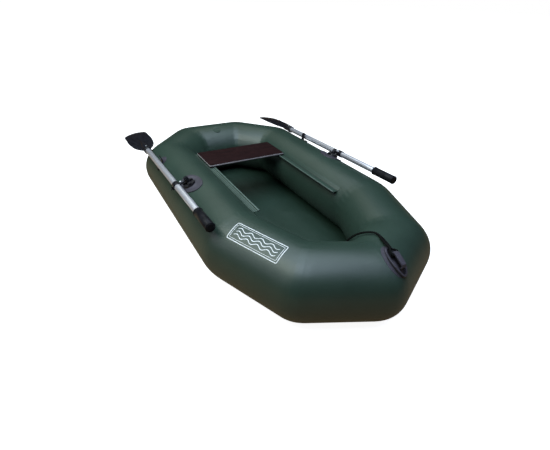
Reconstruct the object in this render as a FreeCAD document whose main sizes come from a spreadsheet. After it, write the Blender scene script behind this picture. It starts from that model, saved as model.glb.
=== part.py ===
import FreeCAD, Part
import os
from math import cos, pi, radians, sin, sqrt, tan

# Inflatable rowing boat, in millimetres: +X to the bow, +Y to port, +Z up.
# The origin is on the ground at mid length. Port pieces are modelled, starboard ones mirrored.

Vector = FreeCAD.Vector
doc = FreeCAD.newDocument("RowingBoat")
sheet = doc.addObject("Spreadsheet::Sheet", "Sizes")

drivingSizes = {
    # hull tube and its plan, measured to the tube's axis
    "TubeRadius": 145, "SideOffset": 344,
    "BowShoulder": 347, "BowKnee": 653, "BowKneeOffset": 226, "BowTip": 764,
    "SternShoulder": 545, "SternKnee": 750, "SternKneeOffset": 160,
    "FloorThickness": 2, "FloorLap": 14,
    # seat track: a flap glued to the side tube, and a level fin with a hollow bead
    "TrackAngle": 53, "TrackFrontMargin": 52, "TrackRearMargin": 38, "FlapWidth": 20,
    "FlapThickness": 1.5, "FinReach": 29, "FinThickness": 2.4, "BeadRadius": 5, "BeadBore": 2.6,
    # seat board and the grooved shoes that run on the beads
    "SeatStandoff": 18, "SeatDepth": 200, "SeatThickness": 10, "SeatCorner": 6, "SeatEndGap": 5,
    "BeadGap": 0.6, "GrooveWall": 1.9, "SlotGap": 0.8, "ShoeWidth": 30, "ShoeThickness": 2,
    # oarlock: rubber pad with two ears, rocker between them, swivel on the rocker's post
    "LockPlace": -18, "LockAngle": 25, "PadLength": 150, "PadWidth": 100, "PadThickness": 3,
    "PadShift": 8, "PadRimWidth": 6, "PadRimHeight": 1, "BossRadius": 29, "BossHeight": 12,
    "EarThickness": 14, "EarRadius": 9, "RockHeight": 11, "RockerWidth": 26, "TrunnionRadius": 3,
    "PivotGap": 0.3, "PostRadius": 5, "HubRadius": 11, "HubHeight": 19, "HubGap": 0.7,
    "CapRadius": 8, "CapThickness": 4, "StudRadius": 4, "StudArm": 52, "StudHeight": 28.5,
    "NutRadius": 8, "NutThickness": 6, "StudEnd": 7,
    # oar
    "ShaftRadius": 14.5, "ShaftAft": 562, "ShaftForward": 352, "CollarWall": 3, "CollarLength": 32,
    "GripRadius": 17.5, "GripStart": 272, "GripLength": 134, "GripRingWidth": 5,
    "GripRingHeight": 1, "GripEndRadius": 2.5, "OarDip": 1.7, "OarToe": 0.4,
    "SocketRadius": 17.5, "SocketLength": 62, "SocketOverlap": 34, "BladeSetback": 8,
    "BladeLength": 362, "BladeWidth": 136, "BladeThickness": 3, "BladeCurve": 8000,
    "BladeRoll": 9, "NeckLength": 120, "RibHeight": 2.5, "RibWidth": 3, "RibLength": 300,
    # clip that holds the stowed oar
    "ClipPlace": -360, "ClipLength": 24, "ClipThickness": 4, "ClipGap": 11, "ClipFootWidth": 44,
    "ClipMouth": 55, "ClipRise": 14.5, "ClipLipRadius": 3, "ClipBaseWidth": 26,
    # towing eye on the bow
    "EyeOffset": 31, "EyeTilt": 30, "EyeLength": 118, "EyeWidth": 66,
    "EyeRimWidth": 7, "EyeRimHeight": 2.5, "EyeThickness": 4, "EyeBarLength": 62,
    "EyeBarWidth": 20, "EyeBarRise": 22, "EyeBarThickness": 5, "EyeBarShoulder": 8,
    # valve
    "ValveRadius": 27, "ValveAngle": 22, "FlangeHeight": 1.5, "ValveCapRadius": 19,
    "ValveCapHeight": 1.5, "ValveSlotWidth": 4, "ValveSlotDepth": 1,
    # painter
    "RopeRadius": 4, "KnotRadius": 9, "KnotGap": 0.3, "KnotRise": 9.2, "CoilForward": 500,
    "CoilOffset": 34, "CoilRadius": 60.5, "CoilHole": 31.5, "CoilHeight": 16.5, "CoilGap": 0.3,
    # how far each cutting tool runs past what it cuts
    "Overrun": 40,
}
for row, (alias, value) in enumerate(drivingSizes.items(), start=1):
    sheet.set("A%d" % row, alias)
    sheet.set("B%d" % row, str(value))
    sheet.setAlias("B%d" % row, alias)
doc.recompute()


class SheetSizes:
    """The values of the sheet, read by their aliases."""

    def __getattr__(self, alias):
        return float(sheet.get(alias))


s = SheetSizes()
alongX, alongY, alongZ = Vector(1, 0, 0), Vector(0, 1, 0), Vector(0, 0, 1)
tubeHeight = s.TubeRadius + s.FloorThickness
subParts = []


def make(kind, name, **expressions):
    """An object of the document whose sizes are bound to the sheet."""
    item = doc.addObject(kind, name)
    for sizeName, expression in expressions.items():
        item.setExpression(sizeName, expression)
    return item


def put(item, base=Vector(), turn=None):
    item.Placement = FreeCAD.Placement(base, turn or FreeCAD.Rotation())
    return item


def turned(axis, angle):
    return FreeCAD.Rotation(axis, angle)


def rod(name, radius, length, base, axis=alongZ):
    """A cylinder from base along axis."""
    item = make("Part::Cylinder", name, Radius=radius, Height=length)
    return put(item, base, FreeCAD.Rotation(alongZ, axis))


def lengthwise(name, radius, start, length, axis=alongX):
    """A cylinder whose length follows from other sizes."""
    item = make("Part::Cylinder", name, Radius=radius)
    item.Height = length
    return put(item, start, FreeCAD.Rotation(alongZ, axis))


def block(name, length, width, height, base, turn=None):
    """A box whose corner is at base."""
    item = make("Part::Box", name, Length=length, Width=width, Height=height)
    return put(item, base, turn)


def cut(name, base, tool):
    item = doc.addObject("Part::Cut", name)
    item.Base, item.Tool = base, tool
    return item


def common(name, base, tool):
    item = doc.addObject("Part::Common", name)
    item.Base, item.Tool = base, tool
    return item


def fuse(name, *items):
    item = doc.addObject("Part::MultiFuse", name)
    item.Shapes = list(items)
    item.Refine = True
    return item


def subPart(label, item, placement=None):
    """Names a finished piece; its label is its file's name."""
    item.Label = label
    if placement is not None:
        item.Placement = placement.multiply(item.Placement)
    subParts.append(item)
    return item


def mirrored(label, item):
    """The starboard twin of a port piece."""
    twin = doc.addObject("Part::Mirroring", label.title().replace("_", ""))
    twin.Source = item
    twin.Normal = alongY
    return subPart(label, twin)


def pair(name, item, placement=None):
    port = subPart(name + "_port", item, placement)
    return port, mirrored(name + "_starboard", port)


# Hull: straight lengths of tube, mitred into each other where the plan turns. The stern's
# last length runs straight across, in two halves.
planPoints = [
    Vector(s.BowTip, 0, tubeHeight), Vector(s.BowKnee, s.BowKneeOffset, tubeHeight),
    Vector(s.BowShoulder, s.SideOffset, tubeHeight),
    Vector(-s.SternShoulder, s.SideOffset, tubeHeight),
    Vector(-s.SternKnee, s.SternKneeOffset, tubeHeight), Vector(-s.SternKnee, 0, tubeHeight),
]
tubeNames = ["bow_end", "bow_quarter", "side_tube", "stern_quarter", "stern_end"]
headings = [(b - a).normalize() for a, b in zip(planPoints, planPoints[1:])]
mitres = [alongY] + [(a + b).normalize() for a, b in zip(headings, headings[1:])] + [-alongY]


def innerMitre(index):
    """How far the mitre at a plan point reaches along the tube on the tube's inner side."""
    return s.TubeRadius * tan(headings[index - 1].getAngle(headings[index]) / 2)


def halfSpace(name, corner, away):
    """A block that fills the side of a mitre plane that away points to."""
    turn = FreeCAD.Rotation(alongX, away)
    across = turn.multVec(alongY) * (2 * s.TubeRadius)
    base = corner - across - alongZ * (2 * s.TubeRadius)
    return block(name, "4 * Sizes.TubeRadius", "4 * Sizes.TubeRadius",
                 "4 * Sizes.TubeRadius", base, turn)


hullTubes = {}
for index, tubeName in enumerate(tubeNames):
    start, finish, heading = planPoints[index], planPoints[index + 1], headings[index]
    plain = make("Part::Cylinder", tubeName + "_plain", Radius="Sizes.TubeRadius")
    plain.Height = (finish - start).Length + 4 * s.TubeRadius
    put(plain, start - heading * (2 * s.TubeRadius), FreeCAD.Rotation(alongZ, heading))
    before = halfSpace(tubeName + "_before", start, -mitres[index])
    after = halfSpace(tubeName + "_after", finish, mitres[index + 1])
    tube = cut(tubeName + "_tube", cut(tubeName + "_open", plain, before), after)
    hullTubes[tubeName] = pair(tubeName, tube)

# Floor: one flat panel under the tubes, a lap wider than the tubes' lines of contact.
floorOutline = [Vector(p.x, p.y, 0) for p in planPoints]
floorOutline += [Vector(p.x, -p.y, 0) for p in reversed(planPoints[1:-1])]
floorWire = Part.makePolygon(floorOutline + floorOutline[:1])
floorFace = Part.Face(floorWire.makeOffset2D(s.FloorLap, 2))
floorPanel = doc.addObject("Part::Feature", "FloorPanel")
floorPanel.Shape = floorFace.extrude(alongZ * s.FloorThickness)
subPart("floor_panel", floorPanel)

# Seat tracks: a flap that follows the tube, and a level fin whose bead the seat's shoe rides.
trackFront = s.BowShoulder - innerMitre(2) - s.TrackFrontMargin
trackRear = -s.SternShoulder + innerMitre(3) + s.TrackRearMargin
trackLength = trackFront - trackRear
trackAxis = Vector(trackRear, s.SideOffset, tubeHeight)
trackTurn = turned(alongX, s.TrackAngle)
beadStart = trackAxis + trackTurn.multVec(alongZ) * s.TubeRadius - alongY * s.FinReach
flapOuter = lengthwise("TrackFlapOuter", "Sizes.TubeRadius + Sizes.FlapThickness", trackAxis,
                       trackLength)
flapBand = make("Part::Box", "TrackFlapBand", Width="Sizes.FlapWidth",
                Height="2 * Sizes.TubeRadius")
flapBand.Length = trackLength
put(flapBand, trackAxis, trackTurn)
fin = make("Part::Box", "TrackFin", Width="Sizes.FinReach + Sizes.Overrun",
           Height="Sizes.FinThickness")
fin.Length = trackLength
put(fin, beadStart - alongZ * (s.FinThickness / 2))
trackBead = lengthwise("TrackBead", "Sizes.BeadRadius", beadStart, trackLength)
trackBody = fuse("TrackBody", common("TrackFlap", flapOuter, flapBand), fin, trackBead)
pastTrack, clearLength = alongX * s.Overrun, trackLength + 2 * s.Overrun
trackSpaces = fuse(
    "TrackSpaces",
    lengthwise("TrackTubeSpace", "Sizes.TubeRadius", trackAxis - pastTrack, clearLength),
    lengthwise("TrackBore", "Sizes.BeadBore", beadStart - pastTrack, clearLength))
pair("seat_track", cut("Track", trackBody, trackSpaces))

# Seat: a board with a grooved shoe under each end.
shoeRadius = s.BeadRadius + s.BeadGap + s.GrooveWall
boardBottom = beadStart.z + shoeRadius
boardReach = s.TubeRadius + s.FlapThickness + s.SeatEndGap
boardHalf = s.SideOffset - sqrt(boardReach ** 2 - (boardBottom - tubeHeight) ** 2)
seatRear = trackRear + s.SeatStandoff
board = make("Part::Box", "SeatBoardPlain", Length="Sizes.SeatDepth", Height="Sizes.SeatThickness")
board.Width = 2 * boardHalf
put(board, Vector(seatRear, -boardHalf, boardBottom))
doc.recompute()
roundedBoard = doc.addObject("Part::Fillet", "SeatBoard")
roundedBoard.Base = board
roundedBoard.Edges = [
    (number, s.SeatCorner, s.SeatCorner) for number, edge in enumerate(board.Shape.Edges, start=1)
    if edge.BoundBox.ZLength > s.SeatThickness / 2]
subPart("seat_board", roundedBoard)

shoeStart = Vector(seatRear, beadStart.y, beadStart.z)
shoeRail = rod("ShoeRail", "Sizes.BeadRadius + Sizes.BeadGap + Sizes.GrooveWall",
               "Sizes.SeatDepth", shoeStart, alongX)
shoePlate = block("ShoePlate", "Sizes.SeatDepth", "Sizes.ShoeWidth", "Sizes.ShoeThickness",
                  shoeStart + Vector(0, -s.ShoeWidth / 2, shoeRadius - s.ShoeThickness))
groove = lengthwise("ShoeGroove", "Sizes.BeadRadius + Sizes.BeadGap", shoeStart - pastTrack,
                    s.SeatDepth + 2 * s.Overrun)
slot = block("ShoeSlot", "Sizes.SeatDepth", "Sizes.ShoeWidth",
             "Sizes.FinThickness + 2 * Sizes.SlotGap",
             shoeStart - alongZ * (s.FinThickness / 2 + s.SlotGap))
pair("seat_shoe", cut("Shoe", fuse("ShoeBody", shoeRail, shoePlate), fuse("ShoeSpaces", groove, slot)))

# Oarlock, in its own frame: X forward, Y outboard along the tube, Z away from the tube,
# with the origin on the tube's surface.
lockLean = radians(s.LockAngle)
lockOrigin = Vector(s.LockPlace, s.SideOffset + s.TubeRadius * sin(lockLean),
                    tubeHeight + s.TubeRadius * cos(lockLean))
lockPlacement = FreeCAD.Placement(lockOrigin, turned(alongX, -s.LockAngle))


def ovalOnTube(name, margin, innerRadius, outerRadius):
    """The oval pad's outline, smaller by a margin, between two radii about the hull tube."""
    oval = make("Part::Ellipse", name + "Oval",
                MajorRadius="Sizes.PadLength / 2 - " + margin,
                MinorRadius="Sizes.PadWidth / 2 - " + margin)
    put(oval, Vector(0, -s.PadShift, -s.TubeRadius / 2))
    prism = doc.addObject("Part::Extrusion", name + "Prism")
    prism.Base, prism.DirMode, prism.Dir = oval, "Custom", alongZ
    prism.LengthFwd, prism.Solid = s.TubeRadius, True
    axisStart = -alongX * (2 * s.TubeRadius) - alongZ * s.TubeRadius
    outer = lengthwise(name + "Outer", outerRadius, axisStart, 4 * s.TubeRadius)
    inner = lengthwise(name + "Inner", innerRadius, axisStart, 4 * s.TubeRadius)
    return common(name + "Patch", prism, cut(name + "Shell", outer, inner))


padTop = "Sizes.TubeRadius + Sizes.PadThickness"
rimmed = ovalOnTube("Pad", "0", "Sizes.TubeRadius", padTop + " + Sizes.PadRimHeight")
recess = ovalOnTube("Recess", "Sizes.PadRimWidth", padTop, padTop + " + Sizes.PadThickness")
earInner = s.RockerWidth / 2 + s.PivotGap
ears = []
for side, sideName in ((1, "Fore"), (-1, "Aft")):
    near = earInner if side > 0 else -earInner - s.EarThickness
    ears.append(rod("Ear" + sideName, "Sizes.EarRadius", "Sizes.EarThickness",
                    Vector(near, 0, s.RockHeight), alongX))
    ears.append(block("EarFoot" + sideName, "Sizes.EarThickness", "2 * Sizes.EarRadius",
                      "Sizes.RockHeight", Vector(near, -s.EarRadius, 0)))
boss = rod("Boss", "Sizes.BossRadius", "2 * Sizes.BossHeight", -alongZ * s.BossHeight)
earBore = lengthwise("EarBore", "Sizes.TrunnionRadius + Sizes.PivotGap",
                     Vector(-s.PadLength / 2, 0, s.RockHeight), s.PadLength)
channel = block("BossChannel", "Sizes.RockerWidth + 2 * Sizes.PivotGap",
                "4 * Sizes.BossRadius", "2 * Sizes.BossHeight",
                Vector(-earInner, -2 * s.BossRadius, s.PadThickness))
underPad = lengthwise("PadTubeSpace", "Sizes.TubeRadius",
                      Vector(-s.PadLength, 0, -s.TubeRadius), 2 * s.PadLength)
padBody = fuse("PadBody", cut("PadPlate", rimmed, recess), boss, *ears)
pad = cut("Pad", padBody, fuse("PadSpaces", earBore, channel, underPad))
pair("oarlock_pad", pad, lockPlacement)

# Rocker: a barrel with trunnions in the ears, and the post that the swivel turns on.
barrelRadius = s.RockHeight - s.PadThickness - s.PivotGap
barrel = make("Part::Cylinder", "RockerBarrel", Height="Sizes.RockerWidth")
barrel.Radius = barrelRadius
put(barrel, Vector(-s.RockerWidth / 2, 0, s.RockHeight), FreeCAD.Rotation(alongZ, alongX))
trunnions = make("Part::Cylinder", "RockerTrunnions", Radius="Sizes.TrunnionRadius")
trunnions.Height = 2 * (earInner + s.EarThickness)
put(trunnions, Vector(-earInner - s.EarThickness, 0, s.RockHeight),
    FreeCAD.Rotation(alongZ, alongX))
hubBottom = s.RockHeight + barrelRadius + s.HubGap
hubTop = hubBottom + s.HubHeight
post = make("Part::Cylinder", "RockerPost", Radius="Sizes.PostRadius")
post.Height = hubTop + s.HubGap - s.RockHeight
put(post, Vector(0, 0, s.RockHeight))
cap = rod("RockerCap", "Sizes.CapRadius", "Sizes.CapThickness", Vector(0, 0, hubTop + s.HubGap))
rocker = fuse("Rocker", barrel, trunnions, post, cap)
pair("oarlock_rocker", rocker, lockPlacement)

# Swivel: a hub round the post, and the metal stud that carries the oar's collar.
hub = rod("SwivelHub", "Sizes.HubRadius", "Sizes.HubHeight", Vector(0, 0, hubBottom))
hubBore = make("Part::Cylinder", "SwivelBore", Radius="Sizes.PostRadius + Sizes.PivotGap")
hubBore.Height = s.HubHeight + 2 * s.Overrun
put(hubBore, Vector(0, 0, hubBottom - s.Overrun))
studHole = make("Part::Cylinder", "SwivelStudHole", Radius="Sizes.StudRadius")
studHole.Height = s.Overrun
studStart = s.PostRadius + s.PivotGap + s.HubGap
put(studHole, Vector(0, studStart, s.StudHeight), FreeCAD.Rotation(alongZ, alongY))
swivel = cut("Swivel", hub, fuse("SwivelHoles", hubBore, studHole))
pair("oarlock_swivel", swivel, lockPlacement)

collarRadius = s.ShaftRadius + s.CollarWall
stud = make("Part::Cylinder", "StudRod", Radius="Sizes.StudRadius")
stud.Height = s.StudArm + collarRadius + s.NutThickness + s.StudEnd - studStart
put(stud, Vector(0, studStart, s.StudHeight), FreeCAD.Rotation(alongZ, alongY))
nut = make("Part::Prism", "StudNut", Circumradius="Sizes.NutRadius", Height="Sizes.NutThickness")
nut.Polygon = 6
put(nut, Vector(0, s.StudArm + collarRadius, s.StudHeight), FreeCAD.Rotation(alongZ, alongY))
pair("oarlock_stud", fuse("Stud", stud, nut), lockPlacement)

# Oar, in its own frame: X forward along the shaft, Y outboard, the origin in the collar.
oarCentre = lockPlacement.multVec(Vector(0, s.StudArm, s.StudHeight))
oarTurn = turned(alongZ, -s.OarToe).multiply(turned(alongY, -s.OarDip))
oarPlacement = FreeCAD.Placement(oarCentre, oarTurn)
studLean = turned(alongX, -s.LockAngle)
studLine = oarTurn.inverted().multVec(studLean.multVec(alongY))


def studBore(name):
    hole = make("Part::Cylinder", name, Radius="Sizes.StudRadius")
    hole.Height = 2 * s.Overrun
    return put(hole, studLine * -s.Overrun, FreeCAD.Rotation(alongZ, studLine))


collarOuter = make("Part::Cylinder", "CollarOuter", Height="Sizes.CollarLength",
                   Radius="Sizes.ShaftRadius + Sizes.CollarWall")
put(collarOuter, Vector(-s.CollarLength / 2, 0, 0), FreeCAD.Rotation(alongZ, alongX))
collarInner = make("Part::Cylinder", "CollarInner", Height="2 * Sizes.CollarLength",
                   Radius="Sizes.ShaftRadius")
put(collarInner, Vector(-s.CollarLength, 0, 0), FreeCAD.Rotation(alongZ, alongX))
collar = cut("Collar", collarOuter, fuse("CollarHoles", collarInner, studBore("CollarBore")))
pair("oar_collar", collar, oarPlacement)

shaftRod = make("Part::Cylinder", "ShaftRod", Radius="Sizes.ShaftRadius",
                Height="Sizes.ShaftAft + Sizes.ShaftForward")
put(shaftRod, Vector(-s.ShaftAft, 0, 0), FreeCAD.Rotation(alongZ, alongX))
pair("oar_shaft", cut("Shaft", shaftRod, studBore("ShaftBore")), oarPlacement)

# Grip: a smooth sleeve with a rim at each end, closed in front.
gripEnd = s.GripStart + s.GripLength
ringStart, ringRadius = gripEnd - s.GripRingWidth, s.GripRadius + s.GripRingHeight
shoulder = Vector(gripEnd - s.GripEndRadius, 0, ringRadius)
rimPoint = Vector(gripEnd, 0, ringRadius - s.GripEndRadius)
middle = Vector(gripEnd - s.GripEndRadius * (1 - cos(pi / 4)), 0,
                ringRadius - s.GripEndRadius * (1 - sin(pi / 4)))
firstRing = s.GripStart + s.GripRingWidth
profile = [Vector(s.GripStart, 0, s.ShaftRadius), Vector(s.GripStart, 0, ringRadius),
           Vector(firstRing, 0, ringRadius), Vector(firstRing, 0, s.GripRadius),
           Vector(ringStart, 0, s.GripRadius), Vector(ringStart, 0, ringRadius), shoulder]
closing = [rimPoint, Vector(gripEnd, 0, 0), Vector(s.ShaftForward, 0, 0),
           Vector(s.ShaftForward, 0, s.ShaftRadius), profile[0]]
edges = [Part.makeLine(a, b) for a, b in zip(profile, profile[1:])]
edges.append(Part.Arc(shoulder, middle, rimPoint).toShape())
edges += [Part.makeLine(a, b) for a, b in zip(closing, closing[1:])]
grip = doc.addObject("Part::Feature", "Grip")
grip.Shape = Part.Face(Part.Wire(edges)).revolve(Vector(), alongX, 360)
pair("oar_grip", grip, oarPlacement)

# Blade: a shallow spoon whose shoulders begin beside its socket. Its outline is cut from a
# curved sheet, and so are its ribs.
socketFront = -s.ShaftAft + s.SocketOverlap
socketRear = socketFront - s.SocketLength
bladeRoot = socketFront - s.BladeSetback
bladeTip = bladeRoot - s.BladeLength
widthShares = ((0.0, 0.14), (0.09, 0.3), (0.19, 0.4), (0.34, 0.465), (0.54, 0.5), (0.75, 0.49),
               (0.92, 0.425), (0.97, 0.26))
outer = [Vector(bladeRoot - along * s.BladeLength, share * s.BladeWidth, 0)
         for along, share in widthShares]
outline = outer + [Vector(bladeTip, 0, 0)] + [Vector(p.x, -p.y, 0) for p in reversed(outer)]
edgeCurve = Part.BSplineCurve()
edgeCurve.interpolate(outline)
edgeWire = Part.Wire([edgeCurve.toShape(), Part.makeLine(outline[-1], outline[0])])
bladeDeep = s.BladeWidth
prism = Part.Face(edgeWire).extrude(alongZ * (2 * bladeDeep))
prism.translate(alongZ * -bladeDeep)


def curvedSheet(thickness):
    """A sheet that bends down towards the blade's tip, thickened upwards."""
    centre = Vector(bladeRoot, -s.BladeWidth, -s.BladeCurve)
    outerRound = Part.makeCylinder(s.BladeCurve + thickness, 2 * s.BladeWidth, centre, alongY)
    return outerRound.cut(Part.makeCylinder(s.BladeCurve, 2 * s.BladeWidth, centre, alongY))


sheetSolid = curvedSheet(s.BladeThickness).common(prism)
ribSheet = curvedSheet(s.BladeThickness + s.RibHeight)
ribs = []
ribAngles = (-14, -7, 0, 7, 14)
for angle in ribAngles:
    bar = Part.makeBox(s.RibLength, s.RibWidth, 2 * bladeDeep,
                       Vector(-s.RibLength, -s.RibWidth / 2, -bladeDeep))
    bar.rotate(Vector(), alongZ, angle)
    bar.translate(alongX * socketFront)
    ribs.append(ribSheet.common(bar).common(prism))
socket = Part.makeCylinder(s.SocketRadius, s.SocketLength, Vector(socketRear, 0, 0), alongX)
neck = Part.makeCone(s.SocketRadius, s.BladeThickness, s.NeckLength,
                     Vector(socketRear, 0, 0), -alongX)
socketBore = Part.makeCylinder(s.ShaftRadius, s.SocketOverlap,
                               Vector(-s.ShaftAft, 0, 0), alongX)
bladeShape = sheetSolid.fuse(neck)
for piece in ribs + [socket]:
    bladeShape = bladeShape.fuse(piece)
bladeShape = bladeShape.cut(socketBore).removeSplitter()
blade = doc.addObject("Part::Feature", "Blade")
blade.Shape = bladeShape
rolled = oarPlacement.multiply(FreeCAD.Placement(Vector(), turned(alongX, -s.BladeRoll)))
pair("oar_blade", blade, rolled)

# Clip: a hook that is open outboard and follows the stowed shaft, on a foot on the tube.
clipSpot = oarPlacement.multVec(Vector(s.ClipPlace - oarCentre.x, 0, 0))
clipPlacement = FreeCAD.Placement(Vector(s.ClipPlace, s.SideOffset, tubeHeight),
                                  turned(alongX, -s.LockAngle))
stowed = clipPlacement.inverse().multVec(clipSpot)
clipAft = -s.ClipLength / 2
hookInner = s.ShaftRadius + s.ClipGap
hookOuter = hookInner + s.ClipThickness
mouth = -radians(s.ClipMouth)


def aroundShaft(radius, angle):
    """A point on the clip's aft face, about the stowed shaft, at an angle from outboard."""
    return Vector(clipAft, stowed.y + radius * cos(angle), stowed.z + radius * sin(angle))


innerArc, outerArc = [
    Part.Arc(*(aroundShaft(radius, angle) for angle in (mouth, -pi / 2, -pi))).toShape()
    for radius in (hookInner, hookOuter)]
hookRise = alongZ * s.ClipRise
upright = [aroundShaft(hookInner, -pi), aroundShaft(hookInner, -pi) + hookRise,
           aroundShaft(hookOuter, -pi) + hookRise, aroundShaft(hookOuter, -pi)]
hookEdges = [innerArc] + [Part.makeLine(a, b) for a, b in zip(upright, upright[1:])]
hookEdges += [outerArc, Part.makeLine(aroundShaft(hookOuter, mouth), aroundShaft(hookInner, mouth))]
hook = Part.Face(Part.Wire(hookEdges)).extrude(alongX * s.ClipLength)
hookLip = Part.makeCylinder(s.ClipLipRadius, s.ClipLength,
                            aroundShaft(hookOuter - s.ClipThickness / 2, -pi) + hookRise, alongX)
hookBase = Part.makeBox(
    s.ClipLength, s.ClipBaseWidth, aroundShaft(hookInner, mouth).z - s.TubeRadius / 2,
    Vector(clipAft, stowed.y - s.ClipBaseWidth / 2, s.TubeRadius / 2))
hookBase = hookBase.cut(Part.makeCylinder(hookInner, s.ClipLength, aroundShaft(0, 0), alongX))
footBand = Part.makeBox(s.ClipLength, s.ClipFootWidth, s.TubeRadius,
                        Vector(clipAft, stowed.y - s.ClipFootWidth / 2, s.TubeRadius / 2))
foot = footBand.common(Part.makeCylinder(s.TubeRadius + s.ClipThickness, s.ClipLength,
                                         alongX * clipAft, alongX))
clipTube = Part.makeCylinder(s.TubeRadius, 2 * s.ClipLength, alongX * (2 * clipAft), alongX)
clip = doc.addObject("Part::Feature", "Clip")
clip.Shape = hook.multiFuse([hookLip, hookBase, foot]).cut(clipTube).removeSplitter()
pair("oar_clip", clip, clipPlacement)

# Towing eye: a rimmed oval patch beside the bow's mitre, and a bar that stands over it.
ridgeLean = radians(s.EyeTilt)
mitreHalf = headings[0].getAngle(alongY)
eyeCentre = Vector(
    s.BowTip - s.EyeOffset * tan(mitreHalf) + s.TubeRadius * sin(ridgeLean) / cos(mitreHalf),
    s.EyeOffset, tubeHeight + s.TubeRadius * cos(ridgeLean))
eyeTurn = turned(alongY, s.EyeTilt)
eyePlacement = FreeCAD.Placement(eyeCentre, eyeTurn)


def eyePrism(margin):
    """The eye's oval, smaller by a margin all round, as a column through the tube's skin."""
    oval = Part.Ellipse(Vector(), s.EyeLength / 2 - margin, s.EyeWidth / 2 - margin)
    column = Part.Face(Part.Wire(oval.toShape())).extrude(alongZ * (4 * s.EyeWidth))
    column.translate(alongZ * (-2 * s.EyeWidth))
    column.Placement = eyePlacement.multiply(column.Placement)
    return column


def bowTube(radius, side):
    """One of the two bow end tubes at a given radius, past the mitre."""
    heading = Vector(headings[0].x, side * headings[0].y, 0)
    tip = planPoints[0]
    tube = Part.makeCylinder(radius, 3 * s.TubeRadius, tip - heading * s.TubeRadius, heading)
    keep = Part.makeBox(6 * s.TubeRadius, 3 * s.TubeRadius, 6 * s.TubeRadius,
                        Vector(tip.x - 3 * s.TubeRadius, 0, tip.z - 3 * s.TubeRadius))
    if side < 0:
        keep.rotate(tip, alongX, 180)
    return tube.common(keep)


eyeLayers = [(s.EyeThickness, eyePrism(0)),
             (s.EyeThickness + s.EyeRimHeight, eyePrism(0).cut(eyePrism(s.EyeRimWidth)))]
patchShapes = [bowTube(s.TubeRadius + thickness, side).common(prism)
               for thickness, prism in eyeLayers for side in (1, -1)]
eyePatch = patchShapes[0].multiFuse(patchShapes[1:])
barRise = s.EyeBarRise
barLow = -2 * s.EyeThickness
barOuter = [Vector(-s.EyeBarLength / 2, 0, barLow),
            Vector(-s.EyeBarLength / 2, 0, barRise - s.EyeBarShoulder),
            Vector(-s.EyeBarLength / 2 + s.EyeBarShoulder, 0, barRise)]
barOuter += [Vector(-p.x, 0, p.z) for p in reversed(barOuter)]
barFace = Part.Face(Part.makePolygon(barOuter + barOuter[:1]))
barSolid = barFace.extrude(alongY * s.EyeBarWidth)
barSolid.translate(alongY * (-s.EyeBarWidth / 2))
gapHalf = s.EyeBarLength / 2 - s.EyeBarThickness
gapSolid = Part.makeBox(2 * gapHalf, 2 * s.EyeBarWidth, barRise - s.EyeBarThickness - barLow,
                        Vector(-gapHalf, -s.EyeBarWidth, barLow))
barSolid = barSolid.cut(gapSolid)
barSolid.Placement = eyePlacement.multiply(barSolid.Placement)
eyeShape = eyePatch.fuse(barSolid)
for side in (1, -1):
    eyeShape = eyeShape.cut(bowTube(s.TubeRadius, side))
eye = doc.addObject("Part::Feature", "TowingEye")
eye.Shape = eyeShape.removeSplitter()
subPart("towing_eye", eye)

# Valve: a slotted cap on a flat flange, on the stern's inner side at the middle.
valveLean = radians(s.ValveAngle)
valveCentre = Vector(-s.SternKnee + s.TubeRadius * sin(valveLean), 0,
                     tubeHeight + s.TubeRadius * cos(valveLean))
flange = Part.makeCylinder(s.ValveRadius, s.ValveRadius + s.FlangeHeight, alongZ * -s.ValveRadius)
valveTop = s.FlangeHeight + s.ValveCapHeight
valveCap = Part.makeCylinder(s.ValveCapRadius, valveTop)
valveSlot = Part.makeBox(s.ValveSlotWidth, 2 * s.ValveCapRadius, 2 * s.ValveSlotDepth,
                         Vector(-s.ValveSlotWidth / 2, -s.ValveCapRadius,
                                valveTop - s.ValveSlotDepth))
valveShape = flange.fuse(valveCap).cut(valveSlot)
valveShape.Placement = FreeCAD.Placement(valveCentre, turned(alongY, s.ValveAngle))
sternTube = Part.makeCylinder(s.TubeRadius, 2 * s.TubeRadius,
                              planPoints[-1] - alongY * s.TubeRadius, alongY)
valve = doc.addObject("Part::Feature", "Valve")
valve.Shape = valveShape.cut(sternTube).removeSplitter()
subPart("air_valve", valve)

# Painter: a knot at the towing eye, the rope over the bow tube and down inside it, and the
# rest of its length in a coil on the floor.
knotCentre = eyePlacement.multVec(
    Vector(-s.EyeBarLength / 2 - s.KnotRadius - s.KnotGap, 0, s.KnotRise))
knot = make("Part::Sphere", "PainterKnot", Radius="Sizes.KnotRadius")
put(knot, knotCentre)
subPart("painter_knot", knot)

coilBase = Vector(s.CoilForward, s.CoilOffset, s.FloorThickness + s.CoilGap)
coilSpace = rod("CoilSpace", "Sizes.CoilHole", "Sizes.CoilHeight", coilBase)
coil = cut("PainterCoil", rod("CoilOuter", "Sizes.CoilRadius", "Sizes.CoilHeight", coilBase),
           coilSpace)
subPart("painter_coil", coil)

ropeRoute = [
    Vector(706, 66, 301), Vector(662, 48, 288), Vector(623, 29, 258), Vector(595, 15, 214),
    Vector(581, 8, 165), Vector(577, 6, 115), Vector(575, 4, 65), Vector(568, 0, 22),
    Vector(545, -13, 6.6), Vector(515, -21, 6.4), Vector(500, -22, 6.4),
]


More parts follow.
